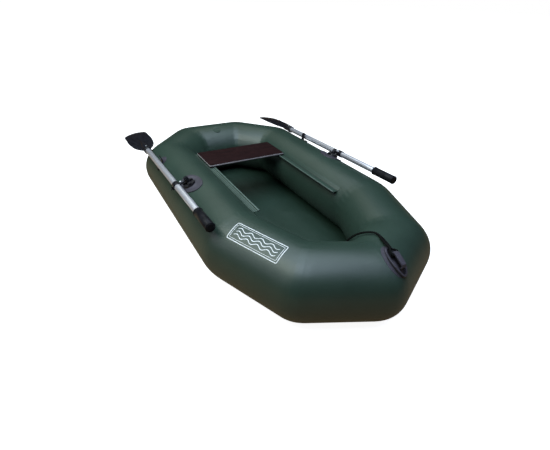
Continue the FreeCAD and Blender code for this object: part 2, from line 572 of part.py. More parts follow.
def roundedPath(points):
    """Straight runs joined by tangent arcs, each as large as its two runs allow."""
    edges, last = [], points[0]
    for before, corner, after in zip(points, points[1:], points[2:]):
        arrive, leave = (corner - before).normalize(), (after - corner).normalize()
        halfTurn = arrive.getAngle(leave) / 2
        reach = 0.45 * min((corner - before).Length, (after - corner).Length)
        radius = reach / tan(halfTurn)
        first, final = corner - arrive * reach, corner + leave * reach
        inward = (leave - arrive).normalize()
        top = corner + inward * (radius / cos(halfTurn) - radius)
        edges += [Part.makeLine(last, first), Part.Arc(first, top, final).toShape()]
        last = final
        print("rope radius at (%.0f, %.0f, %.0f): %.0f" % (*corner, radius))
    return Part.Wire(edges + [Part.makeLine(last, points[-1])])


ropePath = roundedPath([knotCentre] + ropeRoute)
ropeStart = (ropeRoute[0] - knotCentre).normalize()
ropeSection = Part.Wire(Part.makeCircle(s.RopeRadius, knotCentre, ropeStart))
ropeSolid = ropePath.makePipeShell([ropeSection], True, False, 2)
sectionArea = pi * s.RopeRadius ** 2
print("rope length %.0f, volume over section times length %.4f" % (
    ropePath.Length, ropeSolid.Volume / (sectionArea * ropePath.Length)))
doc.recompute()
ropeSolid = ropeSolid.cut(knot.Shape).cut(coil.Shape).cut(
    Part.makeCylinder(s.CoilRadius, s.CoilHeight, coilBase))
rope = doc.addObject("Part::Feature", "PainterRope")
rope.Shape = ropeSolid
subPart("painter_rope", rope)

doc.recompute()
faults = [item.Name for item in doc.Objects if "Invalid" in item.State or "Error" in item.State]
for item in subParts:
    if item.Shape.isNull() or not item.Shape.isValid() or not item.Shape.Solids:
        faults.append(item.Label)
if faults:
    raise RuntimeError("failed pieces: " + ", ".join(faults))

os.makedirs("parts", exist_ok=True)
for item in subParts:
    item.Shape.exportStep("parts/%s.step" % item.Label)
    box = item.Shape.BoundBox
    print("%-26s solids %d volume %10.0f  x %7.1f %7.1f  y %7.1f %7.1f  z %6.1f %6.1f" % (
        item.Label, len(item.Shape.Solids), item.Shape.Volume, box.XMin, box.XMax,
        box.YMin, box.YMax, box.ZMin, box.ZMax))
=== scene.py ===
import math

import bmesh
import bpy
from mathutils import Matrix, Vector, noise
from mathutils.bvhtree import BVHTree


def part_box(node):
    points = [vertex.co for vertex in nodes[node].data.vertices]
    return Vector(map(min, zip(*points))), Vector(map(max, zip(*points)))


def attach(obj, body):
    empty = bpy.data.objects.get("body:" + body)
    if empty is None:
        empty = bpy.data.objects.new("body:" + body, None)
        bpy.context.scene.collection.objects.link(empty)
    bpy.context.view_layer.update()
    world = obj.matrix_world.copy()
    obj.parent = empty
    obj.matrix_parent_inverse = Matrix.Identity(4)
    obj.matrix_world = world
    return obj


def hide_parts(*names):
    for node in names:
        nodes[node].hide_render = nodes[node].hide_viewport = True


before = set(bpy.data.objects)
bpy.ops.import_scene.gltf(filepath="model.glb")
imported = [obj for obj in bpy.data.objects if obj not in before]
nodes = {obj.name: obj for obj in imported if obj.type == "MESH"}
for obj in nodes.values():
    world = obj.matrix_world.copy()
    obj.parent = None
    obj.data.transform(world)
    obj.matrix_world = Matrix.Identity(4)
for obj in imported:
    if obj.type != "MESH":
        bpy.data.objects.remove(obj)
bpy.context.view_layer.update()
scene = bpy.context.scene
upward = Vector((0, 0, 1))

# Camera

camera = {
    "place": (1.4423, -0.8271, 1.0124),
    "ahead": (-0.72171, 0.437, -0.53681),
    "top": (-0.48114, 0.24082, 0.84292),
    "lens": 23.512,
    "sensor": 36.0,
}


def addCamera():
    ahead = Vector(camera["ahead"]).normalized()
    right = ahead.cross(Vector(camera["top"])).normalized()
    turn = Matrix((right, right.cross(ahead), -ahead)).transposed().to_4x4()
    data = bpy.data.cameras.new("viewer")
    data.lens, data.sensor_width = camera["lens"], camera["sensor"]
    obj = bpy.data.objects.new("viewer", data)
    obj.matrix_world = Matrix.Translation(camera["place"]) @ turn
    scene.collection.objects.link(obj)
    scene.camera = obj


addCamera()
print("camera placed")

# Shader helpers


def addNode(tree, kind, settings=None, values=None):
    node = tree.nodes.new(kind)
    for name, value in (settings or {}).items():
        setattr(node, name, value)
    for socket, value in (values or {}).items():
        node.inputs[socket].default_value = value
    return node


def wire(tree, source, output, target, socket):
    tree.links.new(source.outputs[output], target.inputs[socket])


def newGroup(name, inputs, outputs):
    tree = bpy.data.node_groups.new(name, "ShaderNodeTree")
    for label, kind, value in inputs:
        socket = tree.interface.new_socket(name=label, in_out="INPUT", socket_type=kind)
        if value is not None:
            socket.default_value = value
    for label, kind in outputs:
        tree.interface.new_socket(name=label, in_out="OUTPUT", socket_type=kind)
    return tree, tree.nodes.new("NodeGroupInput"), tree.nodes.new("NodeGroupOutput")


def makeMottleGroup():
    # broad and fine unevenness of a tint: 0 to 1
    tree, inside, out = newGroup(
        "Mottle",
        [("Place", "NodeSocketVector", None), ("Broad scale", "NodeSocketFloat", 6.0),
         ("Fine scale", "NodeSocketFloat", 90.0)],
        [("Broad", "NodeSocketFloat"), ("Fine", "NodeSocketFloat")])
    for label, detail in (("Broad", 3.0), ("Fine", 5.0)):
        cloud = addNode(tree, "ShaderNodeTexNoise", values={"Detail": detail, "Roughness": 0.55})
        wire(tree, inside, "Place", cloud, "Vector")
        wire(tree, inside, label + " scale", cloud, "Scale")
        wire(tree, cloud, "Fac", out, label)
    return tree


def makeWeaveGroup():
    # the faint woven base that shows through a coated cloth
    tree, inside, out = newGroup(
        "Coated weave",
        [("Place", "NodeSocketVector", None), ("Threads", "NodeSocketFloat", 900.0)],
        [("Height", "NodeSocketFloat")])
    total = None
    for direction in ("X", "Y", "Z"):
        thread = addNode(tree, "ShaderNodeTexWave", {"bands_direction": direction},
                         {"Distortion": 1.5, "Detail": 1.0, "Detail Scale": 2.0})
        wire(tree, inside, "Place", thread, "Vector")
        wire(tree, inside, "Threads", thread, "Scale")
        if total is None:
            total = thread
            continue
        added = addNode(tree, "ShaderNodeMath", {"operation": "ADD"})
        wire(tree, total, 0 if total.type == "MATH" else "Fac", added, 0)
        wire(tree, thread, "Fac", added, 1)
        total = added
    wire(tree, total, 0, out, "Height")
    return tree


def makeScuffGroup():
    # fine scratches and dust on moulded or metal pieces: 0 clean, 1 scuffed
    tree, inside, out = newGroup(
        "Scuffs",
        [("Place", "NodeSocketVector", None), ("Scale", "NodeSocketFloat", 60.0),
         ("Amount", "NodeSocketFloat", 0.3)],
        [("Mask", "NodeSocketFloat")])
    stretched = addNode(tree, "ShaderNodeMapping", values={"Scale": (0.25, 1.0, 1.0), "Rotation": (0.4, 0.2, 0.7)})
    cloud = addNode(tree, "ShaderNodeTexNoise", values={"Detail": 8.0, "Roughness": 0.7, "Distortion": 0.6})
    ramp = addNode(tree, "ShaderNodeMapRange", values={"From Min": 0.55, "From Max": 0.72})
    scaled = addNode(tree, "ShaderNodeMath", {"operation": "MULTIPLY"})
    wire(tree, inside, "Place", stretched, "Vector")
    wire(tree, stretched, "Vector", cloud, "Vector")
    wire(tree, inside, "Scale", cloud, "Scale")
    wire(tree, cloud, "Fac", ramp, "Value")
    wire(tree, ramp, "Result", scaled, 0)
    wire(tree, inside, "Amount", scaled, 1)
    wire(tree, scaled, 0, out, "Mask")
    return tree


mottleGroup = makeMottleGroup()
weaveGroup = makeWeaveGroup()
scuffGroup = makeScuffGroup()


class Finish:
    # a material with its Principled shader and object coordinates at hand
    def __init__(self, name, colour, roughness, **sockets):
        self.material = bpy.data.materials.new(name)
        self.material.use_nodes = True
        self.material.diffuse_color = (*colour, 1)
        self.tree = self.material.node_tree
        self.shader = self.tree.nodes["Principled BSDF"]
        self.shader.inputs["Base Color"].default_value = (*colour, 1)
        self.shader.inputs["Roughness"].default_value = roughness
        for socket, value in sockets.items():
            self.shader.inputs[socket.replace("_", " ")].default_value = value
        self.place = addNode(self.tree, "ShaderNodeTexCoord")
        self.roughness = roughness

    def group(self, group, **values):
        node = addNode(self.tree, "ShaderNodeGroup", {"node_tree": group})
        for socket, value in values.items():
            node.inputs[socket.replace("_", " ")].default_value = value
        wire(self.tree, self.place, "Object", node, "Place")
        return node

    def tint(self, node, output, low, high, start=0.3, end=0.7):
        ramp = addNode(self.tree, "ShaderNodeMapRange", values={"From Min": start, "From Max": end})
        mix = addNode(self.tree, "ShaderNodeMix", {"data_type": "RGBA"})
        mix.inputs["A"].default_value = (*low, 1)
        mix.inputs["B"].default_value = (*high, 1)
        wire(self.tree, node, output, ramp, "Value")
        wire(self.tree, ramp, "Result", mix, "Factor")
        self.tree.links.new(mix.outputs["Result"], self.shader.inputs["Base Color"])
        return mix

    def over(self, before, node, output, colour):
        mix = addNode(self.tree, "ShaderNodeMix", {"data_type": "RGBA"})
        mix.inputs["B"].default_value = (*colour, 1)
        self.tree.links.new(before.outputs["Result"], mix.inputs["A"])
        self.tree.links.new(node.outputs[output], mix.inputs["Factor"])
        self.tree.links.new(mix.outputs["Result"], self.shader.inputs["Base Color"])
        return mix

    def rough(self, node, output, low, high):
        ramp = addNode(self.tree, "ShaderNodeMapRange", values={"To Min": low, "To Max": high})
        wire(self.tree, node, output, ramp, "Value")
        wire(self.tree, ramp, "Result", self.shader, "Roughness")

    def bump(self, node, output, strength, distance, before=None):
        bump = addNode(self.tree, "ShaderNodeBump", values={"Strength": strength, "Distance": distance})
        wire(self.tree, node, output, bump, "Height")
        if before is not None:
            wire(self.tree, before, "Normal", bump, "Normal")
        wire(self.tree, bump, "Normal", self.shader, "Normal")
        return bump


def coatedCloth(name, dark, light, low, high, specular=0.5):
    made = Finish(name, light, low)
    cloud = made.group(mottleGroup, Broad_scale=5.0, Fine_scale=70.0)
    made.tint(cloud, "Broad", dark, light)
    made.rough(cloud, "Fine", low, high)
    weave = made.group(weaveGroup, Threads=700.0)
    first = made.bump(weave, "Height", 0.08, 0.0002)
    made.bump(cloud, "Broad", 0.25, 0.002, first)
    made.shader.inputs["Specular IOR Level"].default_value = specular
    return made.material


def mouldedPlastic(name, dark, light, low, high, worn=(0.12, 0.12, 0.13), amount=0.25,
                   specular=0.5):
    made = Finish(name, light, low)
    cloud = made.group(mottleGroup, Broad_scale=30.0, Fine_scale=1400.0)
    mixed = made.tint(cloud, "Broad", dark, light)
    scuffs = made.group(scuffGroup, Scale=80.0, Amount=amount)
    made.over(mixed, scuffs, "Mask", worn)
    made.rough(cloud, "Fine", low, high)
    made.bump(cloud, "Fine", 0.15, 0.0003)
    made.shader.inputs["Specular IOR Level"].default_value = specular
    return made.material


def brushedMetal(name, dark, light, low, high, grainScale, metallic=1.0):
    made = Finish(name, light, low, Metallic=metallic)
    stretched = addNode(made.tree, "ShaderNodeMapping", values={"Scale": grainScale})
    wire(made.tree, made.place, "Object", stretched, "Vector")
    grain = addNode(made.tree, "ShaderNodeTexNoise", values={"Scale": 40.0, "Detail": 4.0})
    wire(made.tree, stretched, "Vector", grain, "Vector")
    made.tint(grain, "Fac", dark, light)
    made.rough(grain, "Fac", low, high)
    made.bump(grain, "Fac", 0.1, 0.0001)
    return made.material


def plywoodFilm():
    made = Finish("plywoodFilm", (0.05, 0.02, 0.018), 0.4)
    stretched = addNode(made.tree, "ShaderNodeMapping", values={"Scale": (9.0, 0.6, 9.0)})
    wire(made.tree, made.place, "Object", stretched, "Vector")
    streaks = addNode(made.tree, "ShaderNodeTexNoise",
                      values={"Scale": 14.0, "Detail": 6.0, "Distortion": 0.8})
    wire(made.tree, stretched, "Vector", streaks, "Vector")
    mixed = made.tint(streaks, "Fac", (0.01, 0.0055, 0.006), (0.03, 0.0125, 0.0125))
    scuffs = made.group(scuffGroup, Scale=25.0, Amount=0.12)
    made.over(mixed, scuffs, "Mask", (0.09, 0.06, 0.055))
    made.rough(streaks, "Fac", 0.5, 0.66)
    made.bump(streaks, "Fac", 0.15, 0.0005)
    made.shader.inputs["IOR"].default_value = 1.1
    return made.material


def bandMask(made, source, output, low, high):
    # 1 where a value lies between two limits
    middle, half = (low + high) / 2, (high - low) / 2
    away = addNode(made.tree, "ShaderNodeMath", {"operation": "SUBTRACT"}, {1: middle})
    size = addNode(made.tree, "ShaderNodeMath", {"operation": "ABSOLUTE"})
    mask = addNode(made.tree, "ShaderNodeMapRange", values={"From Min": half + 0.0002, "From Max": half - 0.0002})
    wire(made.tree, source, output, away, 0)
    wire(made.tree, away, 0, size, 0)
    wire(made.tree, size, 0, mask, "Value")
    return mask


def trackStrip():
    # the flap in the hull's green, the fin paler, with drawn lines along it; on the port side the same fin is
    # painted in the hull's darker green as painted shade, with dark painted shadow lines at its root crease and
    # under its free edge
    made = Finish("trackVinyl", (0.09, 0.132, 0.11), 0.4)
    cloud = made.group(mottleGroup, Broad_scale=8.0, Fine_scale=300.0)
    mixed = made.tint(cloud, "Broad", (0.075, 0.115, 0.094), (0.1, 0.145, 0.12))
    axes = addNode(made.tree, "ShaderNodeSeparateXYZ")
    wire(made.tree, made.place, "Object", axes, "Vector")
    hullGreenAndPaintedShade, paintedShadowLine = (0.026, 0.052, 0.038), (0.012, 0.024, 0.018)
    for low, high in ((-0.2240, -0.2200), (-0.2160, -0.2120), (-0.2070, -0.2030)):
        mixed = made.over(mixed, bandMask(made, axes, "Y", low, high), "Result", (0.018, 0.034, 0.026))
    # the starboard flap keeps the hull's own green; the port bands are painted shade over the fin and dark lines
    # of painted shadow
    for low, high, colour in ((-0.3, -0.2268, hullGreenAndPaintedShade), (-0.1985, -0.19, (0.14, 0.19, 0.165)),
                              (0.2045, 0.3, hullGreenAndPaintedShade),
                              (0.2245, 0.2285, paintedShadowLine), (0.19, 0.1965, paintedShadowLine)):
        mixed = made.over(mixed, bandMask(made, axes, "Y", low, high), "Result", colour)
    made.rough(cloud, "Fine", 0.42, 0.52)
    return made.material


def ovalMask(made, point, centre, axes, radii):
    # 1 within an oval round a centre, seen along the third axis
    away = addNode(made.tree, "ShaderNodeVectorMath", {"operation": "SUBTRACT"}, {1: centre})
    wire(made.tree, point, "Vector", away, 0)
    flat = addNode(made.tree, "ShaderNodeCombineXYZ")
    for axis, radius, label in zip(axes, radii, ("X", "Y")):
        along = addNode(made.tree, "ShaderNodeVectorMath", {"operation": "DOT_PRODUCT"},
                        {1: tuple(part / radius for part in axis)})
        wire(made.tree, away, "Vector", along, 0)
        wire(made.tree, along, "Value", flat, label)
    far = addNode(made.tree, "ShaderNodeVectorMath", {"operation": "LENGTH"})
    wire(made.tree, flat, "Vector", far, 0)
    mask = addNode(made.tree, "ShaderNodeMapRange", values={"From Min": 1.0, "From Max": 0.96})
    wire(made.tree, far, "Value", mask, "Value")
    return mask


def fittingRubber():
    # grey rubber of the oarlock pads and the towing eye, near black on the boss, and painted shade near black on
    # the floor of the eye's recess
    made = Finish("fittingRubber", (0.055, 0.05, 0.066), 0.5)
    cloud = made.group(mottleGroup, Broad_scale=30.0, Fine_scale=1400.0)
    mixed = made.tint(cloud, "Broad", (0.042, 0.038, 0.05), (0.064, 0.058, 0.075))
    axes = addNode(made.tree, "ShaderNodeSeparateXYZ")
    wire(made.tree, made.place, "Object", axes, "Vector")
    side = addNode(made.tree, "ShaderNodeMath", {"operation": "ABSOLUTE"})
    wire(made.tree, axes, "Y", side, 0)
    mirrored = addNode(made.tree, "ShaderNodeCombineXYZ")
    wire(made.tree, axes, "X", mirrored, "X")
    wire(made.tree, side, 0, mirrored, "Y")
    wire(made.tree, axes, "Z", mirrored, "Z")
    lean = math.radians(25)
    boss = ovalMask(made, mirrored, (-0.018, 0.40528, 0.27841),
                    ((1, 0, 0), (0, math.cos(lean), -math.sin(lean))), (0.0302, 0.0302))
    mixed = made.over(mixed, boss, "Result", (0.008, 0.007, 0.01))
    straight = addNode(made.tree, "ShaderNodeCombineXYZ")
    for label in ("X", "Y", "Z"):
        wire(made.tree, axes, label, straight, label)
    recess = ovalMask(made, straight, (0.8295, 0.031, 0.2726), ((0.866, 0, -0.5), (0, 1, 0)), (0.053, 0.0265))
    height = addNode(made.tree, "ShaderNodeVectorMath", {"operation": "DOT_PRODUCT"}, {1: (0.5, 0, 0.866)})
    wire(made.tree, straight, "Vector", height, 0)
    low = addNode(made.tree, "ShaderNodeMapRange", values={"From Min": 0.6600, "From Max": 0.6575})
    wire(made.tree, height, "Value", low, "Value")
    both = addNode(made.tree, "ShaderNodeMath", {"operation": "MULTIPLY"})
    wire(made.tree, recess, "Result", both, 0)
    wire(made.tree, low, "Result", both, 1)
    # painted shade: the low floor of the eye's recess painted near black
    mixed = made.over(mixed, both, 0, (0.006, 0.005, 0.008))
    scuffs = made.group(scuffGroup, Scale=80.0, Amount=0.2)
    made.over(mixed, scuffs, "Mask", (0.12, 0.11, 0.14))
    made.rough(cloud, "Fine", 0.42, 0.58)
    made.bump(cloud, "Fine", 0.15, 0.0003)
    return made.material


def plywoodEdge():
    # the upper plies pale grey-lilac, partly the plies' own pale wood and partly painted highlight, and the lower
    # part of the edge painted dark as painted shade
    made = Finish("plywoodEdge", (0.5, 0.48, 0.5), 0.6)
    plies = addNode(made.tree, "ShaderNodeTexWave", {"bands_direction": "Z"},
                    {"Scale": 190.0, "Distortion": 1.0, "Detail": 2.0})
    wire(made.tree, made.place, "Object", plies, "Vector")
    # the plies' tint: pale wood lightened towards near white as a painted highlight
    mixed = made.tint(plies, "Fac", (0.36, 0.33, 0.33), (0.56, 0.53, 0.55))
    axes = addNode(made.tree, "ShaderNodeSeparateXYZ")
    wire(made.tree, made.place, "Object", axes, "Vector")
    # painted shade: the lower part of the edge painted dark brown
    lowerEdgeShade = addNode(made.tree, "ShaderNodeMapRange", values={"From Min": 0.2462, "From Max": 0.2454})
    wire(made.tree, axes, "Z", lowerEdgeShade, "Value")
    made.over(mixed, lowerEdgeShade, "Result", (0.03, 0.02, 0.02))
    made.bump(plies, "Fac", 0.3, 0.0004)
    return made.material


hullCloth = coatedCloth("hullCloth", (0.020, 0.042, 0.030), (0.028, 0.054, 0.039), 0.36, 0.46, 0.68)
tapeCloth = coatedCloth("tapeCloth", (0.021, 0.044, 0.032), (0.029, 0.056, 0.041), 0.34, 0.44, 0.68)
floorCloth = coatedCloth("floorCloth", (0.011, 0.031, 0.020), (0.016, 0.040, 0.027), 0.5, 0.62)
blackRubber = mouldedPlastic("blackRubber", (0.018, 0.018, 0.022), (0.03, 0.03, 0.036), 0.5, 0.65)
blackPlastic = mouldedPlastic("blackPlastic", (0.007, 0.007, 0.01), (0.014, 0.014, 0.02), 0.26, 0.42,
                              (0.07, 0.07, 0.085), 0.2, 0.45)
rubberPatch = fittingRubber()
valvePlastic = mouldedPlastic("valvePlastic", (0.025, 0.05, 0.035), (0.035, 0.064, 0.046), 0.4, 0.52,
                              (0.08, 0.1, 0.09), 0.15)
glossyBlack = mouldedPlastic("glossyBlack", (0.008, 0.008, 0.010), (0.017, 0.017, 0.020), 0.24, 0.36,
                             (0.06, 0.06, 0.07), 0.15, 0.1)
shaftMetal = brushedMetal("shaftMetal", (0.62, 0.61, 0.66), (0.76, 0.75, 0.80), 0.28, 0.4, (0.5, 30, 30), 0.6)
brightSteel = brushedMetal("brightSteel", (0.85, 0.85, 0.88), (0.95, 0.95, 0.97), 0.25, 0.4, (20, 20, 2), 0.35)
studMetal = brushedMetal("studMetal", (0.05, 0.05, 0.055), (0.09, 0.09, 0.095), 0.2, 0.3, (20, 2, 20))
ropeFibre = mouldedPlastic("ropeFibre", (0.002, 0.0025, 0.002), (0.006, 0.0065, 0.006), 0.65, 0.85,
                           (0.02, 0.02, 0.018), 0.25, 0.12)
printWhite = mouldedPlastic("printWhite", (0.84, 0.86, 0.86), (0.9, 0.92, 0.92), 0.4, 0.55,
                            (0.5, 0.53, 0.52), 0.3)
boardFilm, boardEdge = plywoodFilm(), plywoodEdge()
trackVinyl = trackStrip()
print("materials made")

# Mesh helpers


def blendMatrix(first, second, share):
    return first * (1 - share) + second * share


def sweepRings(bm, sections, sides, closed=False, radius=1.0, turn=0.0):
    # a skin through circles that the section matrices place; returns the faces of each span
    start = sections[0] @ Matrix.Rotation(turn, 4, "Z")
    ring = bmesh.ops.create_circle(bm, segments=sides, radius=radius, matrix=start)["verts"]
    firstEdges = edges = list({e for v in ring for e in v.link_edges})
    spans = []
    for before, after in zip(sections, sections[1:]):
        made = bmesh.ops.extrude_edge_only(bm, edges=edges)["geom"]
        verts = [g for g in made if isinstance(g, bmesh.types.BMVert)]
        edges = [g for g in made if isinstance(g, bmesh.types.BMEdge)
                 and all(v in verts for v in g.verts)]
        bmesh.ops.transform(bm, matrix=after @ before.inverted(), verts=verts)
        spans.append([g for g in made if isinstance(g, bmesh.types.BMFace)])
    if closed:
        spans.append(bmesh.ops.bridge_loops(bm, edges=firstEdges + edges)["faces"])
    else:
        for loop in (firstEdges, edges):
            bmesh.ops.holes_fill(bm, edges=loop, sides=sides)
    return spans


def finishPiece(name, bm, materials, body, smooth=True, sharpAngle=None):
    bmesh.ops.recalc_face_normals(bm, faces=bm.faces)
    mesh = bpy.data.meshes.new(name)
    bm.to_mesh(mesh)
    bm.free()
    for face in mesh.polygons:
        face.use_smooth = smooth
    if sharpAngle:
        mesh.set_sharp_from_angle(angle=math.radians(sharpAngle))
    for material in materials:
        mesh.materials.append(material)
    obj = bpy.data.objects.new(name, mesh)
    scene.collection.objects.link(obj)
    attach(obj, body)
    return obj


# Rope: the painter and its loop at the towing eye

painter = {
    "diameter": 0.009,
    "strands": 3,
    "strandRadius": 0.0023,
    "strandOffset": 0.0022,
    "lay": 0.026,
    "ringsInLay": 8,
    "sides": 8,
    "knot": (0.7992, 0.031, 0.3007),
    "route": [(0.706, 0.066, 0.301), (0.662, 0.048, 0.288), (0.623, 0.029, 0.258),
              (0.595, 0.015, 0.214), (0.581, 0.008, 0.165), (0.577, 0.006, 0.115),
              (0.575, 0.004, 0.065), (0.568, 0.0, 0.022), (0.545, -0.013, 0.0066),
              (0.515, -0.021, 0.0064)],
    "loop": [(0.8025, 0.045, 0.2997), (0.815, 0.05, 0.2914), (0.8199, 0.039, 0.2899),
             (0.8206, 0.023, 0.291), (0.8177, 0.012, 0.2961), (0.8041, 0.016, 0.3046),
             (0.7942, 0.025, 0.3114), (0.7772, 0.0291, 0.303), (0.7397, 0.0432, 0.3025),
             (0.7163, 0.0519, 0.3015)],
    "loopLength": 0.18,
    "coilCentre": (0.500, 0.034),
    "coilOuter": 0.056,
    "coilInner": 0.0325,
    "coilLow": 0.0064,
    "coilHigh": 0.0152,
    "pitch": 0.009,
    "turnPoints": 16,
    "length": 2.0,
}


def coilPoints():
    # clockwise inwards on the floor, up a layer, and outwards again
    points = []
    pitch = painter["pitch"]
    inTurns = (painter["coilOuter"] - painter["coilInner"]) / pitch
    climb = 0.25
    turns = 2 * inTurns + climb
    steps = int(turns * painter["turnPoints"])
    for step in range(steps + 1):
        turn = step / painter["turnPoints"]
        if turn <= inTurns:
            radius, height = painter["coilOuter"] - pitch * turn, painter["coilLow"]
        elif turn <= inTurns + climb:
            share = (turn - inTurns) / climb
            radius = painter["coilInner"]
            height = painter["coilLow"] * (1 - share) + painter["coilHigh"] * share
        else:
            radius = painter["coilInner"] + pitch * (turn - inTurns - climb)
            height = painter["coilHigh"]
        angle = -math.pi / 2 - turn * 2 * math.pi
        points.append((painter["coilCentre"][0] + radius * math.cos(angle),
                       painter["coilCentre"][1] + radius * math.sin(angle), height))
    return points


def splineLine(name, points):
    # the points of a smooth NURBS spline through a route
    curve = bpy.data.curves.new(name, "CURVE")
    curve.dimensions = "3D"
    curve.resolution_u = 12
    spline = curve.splines.new("NURBS")
    spline.points.add(len(points) - 1)
    for point, place in zip(spline.points, points):
        point.co = (*place, 1)
    spline.order_u = 3
    spline.use_endpoint_u = True
    holder = bpy.data.objects.new(name, curve)
    scene.collection.objects.link(holder)
    bpy.context.view_layer.update()
    mesh = bpy.data.meshes.new_from_object(holder)
    line = [v.co.copy() for v in mesh.vertices]
    bpy.data.objects.remove(holder)
    bpy.data.meshes.remove(mesh)
    bpy.data.curves.remove(curve)
    return line


def evenLine(line, step):
    # the same line with points a step apart
    even, left = [line[0].copy()], step
    for a, b in zip(line, line[1:]):
        length = (b - a).length
        while length > 1e-9 and left <= length:
            even.append(a.lerp(b, left / length))
            left += step
        left -= length
    return even


def lineLength(line):
    return sum((b - a).length for a, b in zip(line, line[1:]))


def ropeMesh(bm, line, phase=0.0):
    # twisted strands that follow a line
    line = evenLine(line, painter["lay"] / painter["ringsInLay"])
    ahead = [(b - a).normalized() for a, b in zip(line, line[1:])]
    ahead.append(ahead[-1])
    side = ahead[0].cross(upward)
    if side.length < 0.1:
        side = ahead[0].cross(Vector((1, 0, 0)))
    side.normalize()
    frames = []
    for place, heading in zip(line, ahead):
        side = (side - heading * side.dot(heading)).normalized()
        up = heading.cross(side)
        frames.append(Matrix.Translation(place) @ Matrix((side, up, heading)).transposed().to_4x4())
    for strand in range(painter["strands"]):
        sections = []
        for index, section in enumerate(frames):
            angle = phase + 2 * math.pi * (index / painter["ringsInLay"] + strand / painter["strands"])
            offset = Matrix.Translation((painter["strandOffset"] * math.cos(angle),
                                         painter["strandOffset"] * math.sin(angle), 0))
            sections.append(section @ offset)
        sweepRings(bm, sections, painter["sides"], radius=painter["strandRadius"])


def makeRope(name, points):
    line = splineLine(name + "Route", [painter["knot"]] + points)
    bm = bmesh.new()
    ropeMesh(bm, line)
    print(name, "length", round(lineLength(line), 4))
    return finishPiece(name, bm, [ropeFibre], "hull"), line


rope, ropeLine = makeRope("painter", painter["route"] + coilPoints())
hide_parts("painter_rope", "painter_coil", "painter_knot")
loop, loopLine = makeRope("painterLoop", painter["loop"])

# Hull: one inflated skin round the mitred plan, with a tape over each mitre

hull = {
    "radius": 0.145,
    "axisHeight": 0.147,
    "plan": [(0.764, 0.0), (0.653, 0.226), (0.347, 0.344), (-0.545, 0.344), (-0.750, 0.160)],
    "sides": 192,
    "cornerReach": 0.038,
    "nearOffsets": (0.004, 0.009, 0.0135, 0.0145, 0.020, 0.027, 0.035, 0.045, 0.055, 0.068, 0.084),
    "spacing": 0.03,
    "tapeHalf": 0.0138,
    "puckerReach": 0.085,
    "pucker": 0.0011,
    "puckerFolds": 30,
    "tapeRise": 0.00012,
}


def hullPlan():
    port = [Vector((x, y, hull["axisHeight"])) for x, y in hull["plan"]]
    starboard = [Vector((p.x, -p.y, p.z)) for p in reversed(port[1:])]
    return port + starboard


def mitreSections(plan):
    # a matrix for each corner that lays a circle into the mitre as its ellipse
    made = []
    for index, corner in enumerate(plan):
        arrive = (corner - plan[index - 1]).normalized()
        leave = (plan[(index + 1) % len(plan)] - corner).normalized()
        along = (arrive + leave).normalized()
        outward = along.cross(upward) / arrive.dot(along)
        turn = Matrix((outward, upward, along)).transposed().to_4x4()
        made.append(Matrix.Translation(corner) @ turn)
    return made


def hullSection(plan, mitres, index, offset):
    # the section at a signed distance along the axis from a corner, rounded near it
    def straight(distance):
        other = (index + (1 if distance > 0 else -1)) % len(plan)
        share = abs(distance) / (plan[other] - plan[index]).length
        return blendMatrix(mitres[index], mitres[other], share)
    reach = hull["cornerReach"]
    if abs(offset) >= reach:
        return straight(offset)
    share = (offset + reach) / (2 * reach)
    return (straight(-reach) * (1 - share) ** 2 + mitres[index] * (2 * share * (1 - share))
            + straight(reach) * share ** 2)


def puckerHull(bm, mitres):
    # short folds across each mitre, where the cloth is gathered on the inner side
    bm.normal_update()
    for v in bm.verts:
        mitre = min(mitres, key=lambda m: (v.co - m.translation).length)
        offset = v.co - mitre.translation
        outward, up, along = (mitre.col[axis].to_3d().normalized() for axis in range(3))
        fade = max(0.0, 1 - abs(offset.dot(along)) / hull["puckerReach"]) ** 2
        angle = math.atan2(offset.dot(up), offset.dot(outward))
        inner = max(0.0, min(1.0, 0.45 - math.cos(angle)))
        sway = noise.noise(v.co * 14.0)
        fold = 0.5 + 0.5 * math.sin(angle * hull["puckerFolds"] + 5.0 * sway)
        depth = hull["pucker"] * fade * inner * fold * (0.6 + 0.8 * abs(sway))
        v.co -= v.normal * depth


def makeHull():
    plan = hullPlan()
    mitres = mitreSections(plan)
    count = len(plan)
    rings = []      # each ring's section and whether it lies under the tape
    for index in range(count):
        before = (plan[index] - plan[index - 1]).length
        after = (plan[(index + 1) % count] - plan[index]).length
        offsets = [-d for d in reversed(hull["nearOffsets"]) if d < before / 2]
        offsets += [0.0] + [d for d in hull["nearOffsets"] if d < after / 2]
        for offset in offsets:
            rings.append((hullSection(plan, mitres, index, offset), abs(offset) < hull["tapeHalf"]))
        left = after - 2 * max(d for d in hull["nearOffsets"] if d < after / 2)
        cuts = int(left / hull["spacing"])
        for cut in range(1, cuts):
            place = (after - left) / 2 + left * cut / cuts
            rings.append((blendMatrix(mitres[index], mitres[(index + 1) % count], place / after), False))
    sections = []
    for section, taped in rings:
        radius = hull["radius"] + (hull["tapeRise"] if taped else 0.0)
        sections.append(section @ Matrix.Diagonal((radius, radius, 1, 1)))
    bm = bmesh.new()
    spans = sweepRings(bm, sections, hull["sides"], closed=True)
    bmesh.ops.recalc_face_normals(bm, faces=bm.faces)
    puckerHull(bm, mitres)
    for index, faces in enumerate(spans):
        taped = rings[index][1] and rings[(index + 1) % len(rings)][1]
        for face in faces:
            face.material_index = 1 if taped else 0
    skin = finishPiece("hullSkin", bm, [hullCloth, tapeCloth], "hull")
    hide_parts(*[name for name in nodes if name.startswith(("bow_", "side_tube", "stern_"))])
    return skin


hullSkin = makeHull()
print("hull made")

# Floor cloth under the tubes

floorSheet = {
    "lap": 0.0135,
    "thickness": 0.0012,
    "cells": 0.012,
    "top": 0.0019,
    "fadeIn": 0.06,
    "flatRound": 0.07,
    "wrinkle": 0.0045,
}


